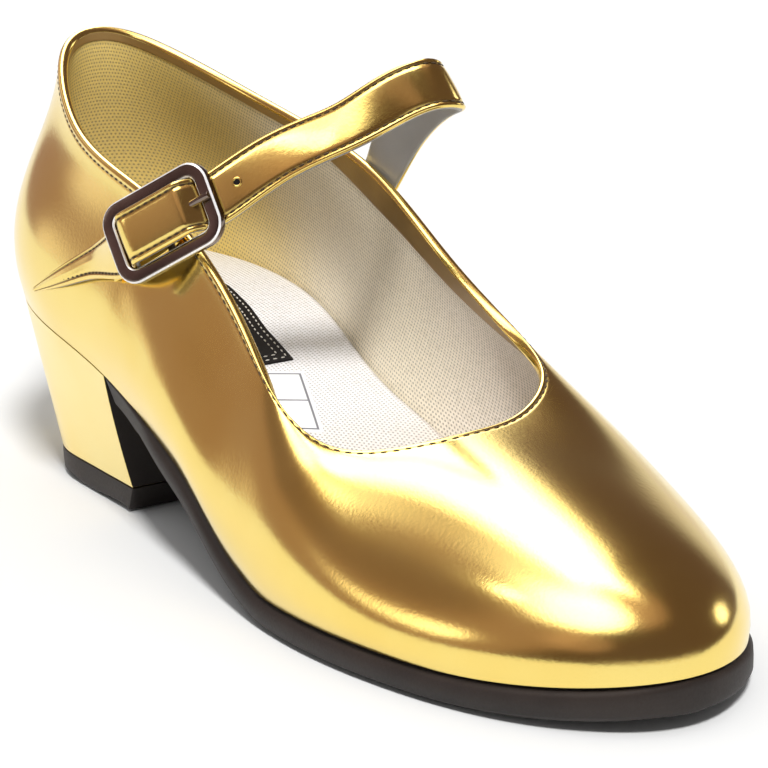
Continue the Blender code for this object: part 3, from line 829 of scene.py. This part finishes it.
pad_x = PAD_FRONT - (PAD_FRONT - PAD_END + PAD_ROUND) * np.sin(np.linspace(0, math.pi / 2, 48))
pad_t = np.linspace(-1, 1, 25)
pad_flat = np.stack([np.outer(pad_x, np.ones(25)), PAD_MIDDLE + np.outer(pad_half(pad_x), pad_t)], axis=2)
make_piece(sheet(pad_flat, 0.35, 0.45), "heel_pad", [black_pad], smooth_degrees=50)
pad_thread = bmesh.new()
for inset in (1.0, 2.5):
    line = on_insole(pad_outline(inset), 0.4)
    stitch_run(pad_thread, line, np.tile((0.0, 0.0, 1.0), (len(line), 1)), 0.8 * STITCH_STEP, True, 0.7)
make_piece(pad_thread, "pad_stitches", [pale_thread], smooth_degrees=180)

# %% [markdown]
# ## The sticker
# It is a plain paper rectangle with a thin frame and a line across its middle. The lines are drawn by the
# finish, from the distances along the paper that the sheet stores, so they stay thin at any density.

# %% Sticker
PAPER_CORNER = np.array((-31.0, 6.0))
PAPER_LONG, PAPER_WIDE = 21.5, 13.0
PAPER_WAY = np.array((0.945, -0.327))
PAPER_INSET = 0.9


def paper_finish():
    """White paper with a thin frame and a line across its middle."""
    finish = Finish("white_paper", {"Metallic": 0.0})
    u = finish.stored("paper_u")
    v = finish.stored("paper_v")
    inside_u = (u - PAPER_INSET).math("MINIMUM", PAPER_LONG - PAPER_INSET - u)
    inside_v = (v - PAPER_INSET).math("MINIMUM", PAPER_WIDE - PAPER_INSET - v)
    inside = inside_u.math("MINIMUM", inside_v)
    divider = (u - PAPER_LONG / 2).math("ABSOLUTE").math("MAXIMUM", 0 - inside)
    lines = 1 - inside.math("ABSOLUTE").math("MINIMUM", divider).between(0.12, 0.36)
    fibres = finish.noise(0.6 * MM)
    paper = finish.mix(fibres, colour(0.86, 0.86, 0.86), colour(0.80, 0.80, 0.80))
    finish.feed("Base Color", finish.mix(lines * 0.9, paper, colour(0.08, 0.08, 0.10)))
    finish.feed("Roughness", 0.45 + fibres * 0.15)
    finish.bump(fibres, 0.02 * MM, 0.4)
    return finish.material


steps_u = np.linspace(0, PAPER_LONG, 25)
steps_v = np.linspace(0, PAPER_WIDE, 15)
PAPER_SIDE = np.array((PAPER_WAY[1], -PAPER_WAY[0]))
paper_flat = PAPER_CORNER + steps_u[:, None, None] * PAPER_WAY + steps_v[None, :, None] * PAPER_SIDE
paper_mesh = sheet(paper_flat, 0.2, 0.3, (("paper_u", PAPER_LONG), ("paper_v", PAPER_WIDE)))
make_piece(paper_mesh, "paper_sticker", [paper_finish()], smooth_degrees=50)

# %% [markdown]
# ## Reading the strap's path
# The CAD strap is a band of rings with eight corners. Its four side corners make lines that run the whole
# length, past the slot for the prong. Following an edge straight on, across a four-edged corner, walks such
# a line, and the four lines together give the strap's middle, its width and the way it faces at each ring.

# %% Strap stations
FOOT_MIDDLE = Vector((-40, 0, 50)) * MM


def straight_on(vert, edge):
    """The edge that carries on from this one past a vertex with four edges."""
    faces = set(edge.link_faces)
    ways = [e for e in vert.link_edges if e is not edge and not faces & set(e.link_faces)]
    return ways[0] if len(vert.link_edges) == 4 and len(ways) == 1 else None


def walk(vert, edge):
    """Vertices met going straight on from a vertex along an edge, until the way ends or closes."""
    line = [vert]
    while edge is not None:
        vert = edge.other_vert(line[-1])
        if vert is line[0]:
            break
        line.append(vert)
        edge = straight_on(vert, edge)
    return line


strap_copy = welded("strap")
strap_copy.verts.index_update()
top = max(strap_copy.verts, key=lambda v: v.co.z)
loops = [walk(top, edge) for edge in top.link_edges]
ring = next(loop for loop in loops if len(loop) == 8)
longest = [max((ring[k].co - ring[k - 1].co).length, (ring[k].co - ring[k - 7].co).length) for k in range(8)]
sides = [vert for vert, reach in zip(ring, longest) if reach < 3 * MM]
lines = []
for vert in sides:
    ways = [edge for edge in vert.link_edges if edge.other_vert(vert) not in ring]
    halves = sorted((walk(vert, edge) for edge in ways), key=lambda line: line[-1].co.y)
    lines.append([v.co.copy() for v in halves[0][::-1] + halves[1][1:]])
strap_copy.free()
print("strap lines:", [len(line) for line in lines])

# %% [markdown]
# ## Where the buckle sits
# The strap runs through the buckle, so the buckle's place is needed first. It is read from the CAD ring: the
# three main directions of the ring's points are the buckle's own axes, along, across and out.

# %% Buckle axes
frame_points = np.array([tuple(v.co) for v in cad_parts["buckle_frame"].data.vertices])
buckle_middle = (frame_points.max(axis=0) + frame_points.min(axis=0)) / 2
for _ in range(3):
    axes = np.linalg.svd(np.unique(frame_points.round(7), axis=0) - buckle_middle, full_matrices=False)[2]
    local = (frame_points - buckle_middle) @ axes.T
    buckle_middle = buckle_middle + (local.max(axis=0) + local.min(axis=0)) / 2 @ axes
local = (frame_points - buckle_middle) @ axes.T
buckle_long, buckle_wide, buckle_thick = local.max(axis=0) - local.min(axis=0)
along_axis = Vector(axes[0]) * (1 if axes[0][0] > 0 else -1)
across_axis = Vector(axes[1]) * (1 if axes[1][2] > 0 else -1)
out_axis = along_axis.cross(across_axis)
buckle_turn = Matrix((along_axis, across_axis, out_axis)).transposed().to_4x4()
buckle_place = Matrix.Translation(Vector(buckle_middle)) @ buckle_turn
print("buckle, mm:", [round(float(side) / MM, 1) for side in (buckle_long, buckle_wide, buckle_thick)])

# %% [markdown]
# ## The strap
# Two layers make the strap: gold leather with its edges turned in, and a silver backing. The section is drawn
# once, as distances from the edge and heights, and carried along the path. It is crowned a little, has a
# stitched line near each edge and a joint between the layers. A slight twist, as leather takes when it
# bends over the instep, decides where the strap catches the light.

# %% Strap band
stations = min(len(line) for line in lines)
corners = np.array([[tuple(p) for p in line[:stations]] for line in lines])
middle = corners.mean(axis=0)
apart = np.argsort(np.linalg.norm(corners - corners[0], axis=2).mean(axis=1))
span = corners[apart[:2]].mean(axis=0) - corners[apart[2:]].mean(axis=0)
if span[stations // 2, 2] < 0:
    span = -span
print("stations:", stations, "strap width, mm:", round(float(np.linalg.norm(span, axis=1).max() / MM), 1))
places = np.linspace(0, stations - 1, 2 * stations - 1)
strap_middle = cubic(middle, places, False)
strap_across = cubic(unit(span), places, False)
strap_half = np.interp(places, np.arange(stations), np.linalg.norm(span, axis=1)) / 2

FLAT_TOP = 2.9
FLAT_HALF = 6.6
HUMP_HALF = 10.4
REACH_ACROSS = 9
REACH_OUT = 6
in_buckle = (strap_middle - buckle_middle) @ np.array((along_axis, across_axis, out_axis)).T / MM
within = (np.abs(in_buckle) < (HUMP_HALF, REACH_ACROSS, REACH_OUT)).all(axis=1)
ends = in_buckle[within][[0, -1], 2]
if in_buckle[within][0, 0] >= 0:
    ends = ends[::-1]
under = np.interp(in_buckle[:, 0], (-HUMP_HALF, HUMP_HALF), ends)
flat = under + (FLAT_TOP - under) * (1 - eased(np.abs(in_buckle[:, 0]), FLAT_HALF, HUMP_HALF))
lifted = np.where(within, flat - in_buckle[:, 2], 0)
strap_middle = strap_middle + lifted[:, None] * np.array(out_axis) * MM
print("strap in the buckle moved, mm:", round(float(lifted.min()), 1), "to", round(float(lifted.max()), 1))

strap_run = np.linalg.norm(np.diff(strap_middle, axis=0), axis=1).sum()
print("strap length along its middle, mm:", round(float(strap_run / MM), 1))

strap_way = unit(np.gradient(strap_middle, axis=0))
strap_across = unit(strap_across - strap_way * np.sum(strap_across * strap_way, axis=1, keepdims=True))
strap_out = np.cross(strap_way, strap_across)
if np.sum(strap_out * (strap_middle - np.array(FOOT_MIDDLE))) < 0:
    strap_out = -strap_out

# Place across the shoe, mm, and twist there, degrees
TWISTS = ((-9.0, 0.0), (0.0, 9.0), (6.0, 2.0), (12.0, -8.0), (20.0, 0.0))
HIGH_ENOUGH = 74.0
by_width = np.interp(strap_middle[:, 1] / MM, [w for w, _ in TWISTS], [t for _, t in TWISTS])
free = np.clip((strap_middle[:, 2] / MM - HIGH_ENOUGH) / 5, 0, 1) * (strap_way[:, 1] > 0.3)
twist = np.radians(by_width * free)
SOFT_STATIONS = 15
kernel = np.hanning(SOFT_STATIONS) / np.hanning(SOFT_STATIONS).sum()
twist = np.convolve(np.pad(twist, SOFT_STATIONS // 2, mode="edge"), kernel, mode="valid")[:, None]
strap_across, strap_out = (
    strap_across * np.cos(twist) - strap_out * np.sin(twist),
    strap_out * np.cos(twist) + strap_across * np.sin(twist),
)

STRAP_FACE = ((0.0, 0.30), (0.06, 0.52), (0.22, 0.70), (0.5, 0.78), (0.78, 0.76), (0.95, 0.64), (1.1, 0.62),
              (1.25, 0.66), (1.45, 0.80), (2.1, 0.86), (3.2, 0.92))
STRAP_BACK = ((0.0, 0.08), (0.2, -0.02), (0.22, -0.10), (0.06, -0.2), (0.04, -0.5), (0.2, -0.72), (0.6, -0.8),
              (2.0, -0.8))
STRAP_CROWN = 0.95
STRAP_LINE = 1.1
ROOM = 3.4


def strap_ring(half):
    """Section of the strap: offsets across and heights, mm, from the upper edge round over the face."""
    fit = min(1.0, half / MM / ROOM)
    face = [(half / MM - inset * fit, height) for inset, height in STRAP_FACE]
    rear = [(half / MM - inset * fit, height) for inset, height in STRAP_BACK]
    front = face + [(0.0, STRAP_CROWN)] + [(-u, v) for u, v in face[::-1]]
    behind = [(-u, v) for u, v in rear] + [(0.0, -0.8)] + rear[::-1]
    return np.array(front + behind)


sections = np.array([strap_ring(half) for half in strap_half])
band = (
    strap_middle[:, None]
    + strap_across[:, None] * sections[:, :, :1] * MM
    + strap_out[:, None] * sections[:, :, 1:] * MM
)
strap_mesh, strap_index, strap_span = bent_grid(band, False, True)
strap_below = strap_mesh.verts.layers.float.new(BELOW_EDGE)
face_count = 2 * len(STRAP_FACE) + 1
insets = [inset for inset, _ in STRAP_FACE]
insets = insets + [9.0] + insets[::-1]
corner_of = {}
for vert in strap_mesh.verts:
    corner = vert[strap_index] % strap_span % sections.shape[1]
    corner_of[vert] = corner
    vert[strap_below] = insets[corner] + STITCH_BELOW - STRAP_LINE if corner < face_count else 0.9
bmesh.ops.holes_fill(strap_mesh, edges=[e for e in strap_mesh.edges if e.is_boundary])
bmesh.ops.recalc_face_normals(strap_mesh, faces=strap_mesh.faces)
joint = face_count + 2
last = sections.shape[1] - 3
for face in strap_mesh.faces:
    at = [corner_of[v] for v in face.verts]
    face.material_index = 1 if min(at) >= joint - 1 and max(at) <= last + 1 else 0
make_piece(strap_mesh, "strap_band", [gold_strap, silver_strap], ["strap"], 0, 70)

# %% [markdown]
# ## Stitches of the strap
# The two rows lie in the grooves of the strap's section. They stop where the pointed tail gets too narrow.

# %% Strap stitches
STRAP_STEP = 1.75
SEAM_HEIGHT = 0.66
strap_thread = bmesh.new()
for side in (1, -1):
    aside = side * np.clip(strap_half / MM - STRAP_LINE, 0, None)[:, None] * MM
    line = strap_middle + strap_across * aside + strap_out * SEAM_HEIGHT * MM
    wide = strap_half > 2 * MM
    count = stitch_run(strap_thread, line[wide], strap_out[wide], STRAP_STEP, False, 0.9)
    print("stitches along one edge of the strap:", count)
make_piece(strap_thread, "strap_stitches", [thread], smooth_degrees=180)

# %% [markdown]
# ## A punched hole
# One of the strap's spare holes shows beside the buckle. A pixel of the photograph says which station of the
# strap carries it. A small ring spun round the hole's axis makes the pressed lip, and a dark disc of painted
# shade closes it and stands for the hole's depth.

# %% Punched hole
HOLE_PIXEL = (240, 187)
HOLE_RADIUS = 0.8
LIP_RADIUS = 0.22
sight = np.array(pixel_way(*HOLE_PIXEL))
from_eye = strap_middle - np.array(camera.matrix_world.translation)
beside = np.linalg.norm(np.cross(from_eye, sight), axis=1)
at = int(np.argmin(beside + 1.0 * (strap_out @ sight > 0)))
hole_aside = np.cross(strap_out[at], strap_way[at])
hole_axes = Matrix((Vector(strap_way[at]), Vector(hole_aside), Vector(strap_out[at])))
hole_place = strap_middle[at] + strap_out[at] * STRAP_CROWN * MM
hole_matrix = Matrix.Translation(Vector(hole_place)) @ hole_axes.transposed().to_4x4()
hole_mesh = bmesh.new()
section = bmesh.ops.create_circle(
    hole_mesh, segments=10, radius=LIP_RADIUS * MM,
    matrix=Matrix.Translation((HOLE_RADIUS * MM, 0, 0)) @ Matrix.Rotation(math.pi / 2, 4, "X"),
)["verts"]
bmesh.ops.spin(
    hole_mesh, geom=section + list(hole_mesh.edges), cent=(0, 0, 0), axis=(0, 0, 1),
    angle=2 * math.pi, steps=28,
)
bmesh.ops.remove_doubles(hole_mesh, verts=hole_mesh.verts, dist=0.005 * MM)
# A dark disc, painted shade, stands in for the inside of the hole.
hole_shade_disc = bmesh.ops.create_cone(
    hole_mesh, cap_ends=True, segments=28, radius1=HOLE_RADIUS * MM, radius2=HOLE_RADIUS * MM,
    depth=0.12 * MM,
)["verts"]
for face in {face for vert in hole_shade_disc for face in vert.link_faces}:
    face.material_index = 1
bmesh.ops.transform(hole_mesh, matrix=hole_matrix, verts=hole_mesh.verts)
bmesh.ops.recalc_face_normals(hole_mesh, faces=hole_mesh.faces)
make_piece(hole_mesh, "strap_hole", [gold_strap, black_pad], smooth_degrees=60)

# %% [markdown]
# ## Buckle
# The buckle is stamped from flat metal: a rounded frame with a middle bar, polished, with its rims broken.
# A flat plate gets rounded corners, an inset opens it, and bevels break the rims. The bevels carry a pale
# copy of the metal, a painted highlight, so that each bar shows a dark face between two bright lines.

# %% Buckle frame
BAR_WIDE = 2.9
CORNER = 4.6
RIM = 0.62
PIN_RADIUS = 0.8

plate = bmesh.new()
bmesh.ops.create_grid(plate, x_segments=1, y_segments=1, size=0.5)
bmesh.ops.scale(plate, vec=(buckle_long, buckle_wide, 1), verts=plate.verts)
bmesh.ops.bevel(
    plate, geom=plate.verts, offset=CORNER * MM, offset_type="OFFSET", affect="VERTICES", segments=8,
    profile=0.5, material=-1,
)
opening = list(plate.faces)
bmesh.ops.inset_region(plate, faces=opening, thickness=BAR_WIDE * MM, use_boundary=True, use_even_offset=True)
bmesh.ops.delete(plate, geom=opening, context="FACES")
raised = bmesh.ops.extrude_face_region(plate, geom=plate.faces)["geom"]
raised = [v for v in raised if isinstance(v, bmesh.types.BMVert)]
bmesh.ops.translate(plate, vec=(0, 0, buckle_thick), verts=raised)
bmesh.ops.translate(plate, vec=(0, 0, -buckle_thick / 2), verts=plate.verts)
bmesh.ops.recalc_face_normals(plate, faces=plate.faces)
soften(sharp_edges(plate, 60), plate, RIM * MM, 4)
# The sloping bevel faces get the pale rim finish, a painted highlight.
for face in plate.faces:
    face.material_index = 1 if 0.25 < abs(face.normal.z) < 0.97 else 0
bmesh.ops.create_cone(
    plate, cap_ends=True, segments=16, radius1=PIN_RADIUS * MM, radius2=PIN_RADIUS * MM,
    depth=buckle_wide - BAR_WIDE * MM, matrix=Matrix.Rotation(math.pi / 2, 4, "X"),
)
bmesh.ops.transform(plate, matrix=buckle_place, verts=plate.verts)
bmesh.ops.recalc_face_normals(plate, faces=plate.faces)
make_piece(plate, "buckle_ring", [buckle_metal, painted_rim_highlight], ["buckle_frame"], 0, 50)

# %% [markdown]
# ## Prong and loop
# The prong is a bent wire and the loop a strip of leather round the middle bar. Both are nearly hidden, so
# their CAD solids are copied, their edges broken and their facets rounded off.

# %% Prong and loop
soft_copy("buckle_prong", "buckle_pin", buckle_metal, 0.2, 1, 60)
soft_copy("buckle_tab", "buckle_loop", gold_leather, 0.15, 1, 60)

# %% [markdown]
# ## Floor
# The floor is plain and pale, one large square that belongs to the stage and not to the shoe. A trace of
# noise in its tone keeps it from looking like paper.

# %% Floor
floor_mesh = bmesh.new()
bmesh.ops.create_grid(floor_mesh, x_segments=1, y_segments=1, size=6.0)
floor_data = bpy.data.meshes.new("floor")
floor_mesh.to_mesh(floor_data)
floor_mesh.free()
floor_finish = Finish("pale_floor", {"Roughness": 0.9, "Specular IOR Level": 0.1})
floor_tone = floor_finish.noise(400 * MM)
floor_colour = floor_finish.mix(floor_tone, colour(0.72, 0.72, 0.72), colour(0.74, 0.74, 0.73))
floor_finish.feed("Base Color", floor_colour)
floor_data.materials.append(floor_finish.material)
floor = bpy.data.objects.new("floor", floor_data)
bpy.context.scene.collection.objects.link(floor)
print("floor, m:", [round(side, 1) for side in floor.dimensions])

# %% [markdown]
# ## Studio
# Foil shows its surroundings, so the light on matt surfaces and the light that the foil mirrors are set
# apart: an even white room for everything matt, and for reflections a dim brown room with a few white lights.
# Each light is a direction with a soft edge. The strip stands behind the shoe, on its inner side.

# %% Studio
scene = bpy.context.scene
scene.view_settings.view_transform = "Standard"
studio = bpy.data.worlds.new("studio")
scene.world = studio
studio.use_nodes = True


class Studio(Finish):
    """The world's nodes, made in the same way as a finish."""

    def __init__(self, world):
        self.tree = world.node_tree
        self.shader = self.tree.nodes["Background"]


def aim(azimuth, elevation):
    """Unit direction, degrees."""
    turn = math.radians(azimuth)
    lift = math.radians(elevation)
    return Vector((math.cos(turn) * math.cos(lift), math.sin(turn) * math.cos(lift), math.sin(lift)))


def towards(azimuth, elevation):
    """How far a ray points in a direction: 1 straight at it, 0 square to it."""
    return sky.add("VectorMath", {"operation": "DOT_PRODUCT"}, {0: way, 1: aim(azimuth, elevation)}, "Value")


def patch(azimuth, elevation, inner, outer):
    """Round light: 1 within an angle of its direction, fading to 0 at a wider one, degrees."""
    return towards(azimuth, elevation).between(math.cos(math.radians(outer)), math.cos(math.radians(inner)))


def strip(azimuth, half, low, high, soft=5):
    """Upright light: half its width, its lower and upper end and the softness of its edges, degrees."""
    edges = [[math.sin(math.radians(angle + side)) for side in (-soft, soft)] for angle in (half, low, high)]
    beside = towards(azimuth + 90, 0).math("ABSOLUTE")
    ends = height.between(*edges[1]) * (1 - height.between(*edges[2]))
    return (1 - beside.between(*edges[0])) * towards(azimuth, 0).between(0, 0.1) * ends


sky = Studio(studio)
way = sky.add("TexCoord", output="Generated")
height = sky.add("SeparateXYZ", {}, {"Vector": way}, "Z")
ROOM_LEVEL = 0.12
CEILING_LEVEL = 0.4
WALL_LEVEL = 0.25
WALL_SHADE = 0.15
outer_wall_light = patch(-145, 35, 45, 65) * (WALL_LEVEL - patch(-135, 35, 5, 20) * WALL_SHADE)
front_wall_light = patch(-70, 35, 5, 20) * WALL_LEVEL
brown = ROOM_LEVEL + outer_wall_light + front_wall_light + height.between(0.85, 1.0) * CEILING_LEVEL

# Azimuth and elevation of each light, its full and its fading radius, all in degrees, and its strength
WHITE_LIGHTS = {
    "overhead_window": (-95, 70, 5, 25, 4.0),
    "overhead_rear": (-160, 70, 10, 20, 0.75),
    "outer_card": (-115, 15, 2, 8, 2.0),
    "inner_card": (95, 15, 2, 10, 2.5),
    "inner_low_card": (135, 0, 5, 20, 0.7),
    "rear_card": (-170, 25, 2, 12, 0.6),
    "rear_low_card": (-155, 0, 2, 10, 0.6),
}
STRIP_LEVEL = 5.0
FRONT_GLOW = 0.7
white = strip(160, 10, 20, 75) * STRIP_LEVEL
white += towards(-5, 0).between(0.5, 1.0) * (1 - height.between(0.0, 0.2)) * FRONT_GLOW
for *shape, strength in WHITE_LIGHTS.values():
    white += patch(*shape) * strength
glossy = sky.add("LightPath", output="Is Glossy Ray")
MATT_LIGHT = 0.4
BROWN_WALL = colour(1.0, 0.66, 0.64)
WHITE = colour(1, 1, 1)
sky.feed("Color", sky.mix((1 - glossy) + glossy * (white / (white + brown)), BROWN_WALL, WHITE))
sky.feed("Strength", glossy * (white + brown) + (1 - glossy) * MATT_LIGHT)


def softbox(name, azimuth, elevation, distance, side, power):
    """Area light that faces the shoe and isn't mirrored in it."""
    data = bpy.data.lights.new(name, "AREA")
    data.shape = "DISK"
    data.size = side
    data.energy = power
    light = bpy.data.objects.new(name, data)
    out = aim(azimuth, elevation)
    light.matrix_world = Matrix.Translation(out * distance) @ out.to_track_quat("Z", "Y").to_matrix().to_4x4()
    light.visible_glossy = False
    scene.collection.objects.link(light)
    return light


key_data = bpy.data.lights.new("key_window", "SUN")
key_data.energy = 3.5
key_data.angle = math.radians(11)
key = bpy.data.objects.new("key_window", key_data)
key.matrix_world = aim(-20, 52).to_track_quat("Z", "Y").to_matrix().to_4x4()
key.visible_glossy = False
scene.collection.objects.link(key)
ceiling = softbox("ceiling_panel", 0, 90, 2.0, 3.0, 10)
STRAP_TOP = Vector((-4.0, 0.0, 82.5)) * MM
card = softbox("strap_card", -93, 46, 0.2, 0.036, 0.013)
card.matrix_world = Matrix.Translation(STRAP_TOP) @ card.matrix_world
card.visible_glossy = True  # the one panel that the strap mirrors
print("lights:", key.name, ceiling.name, card.name)
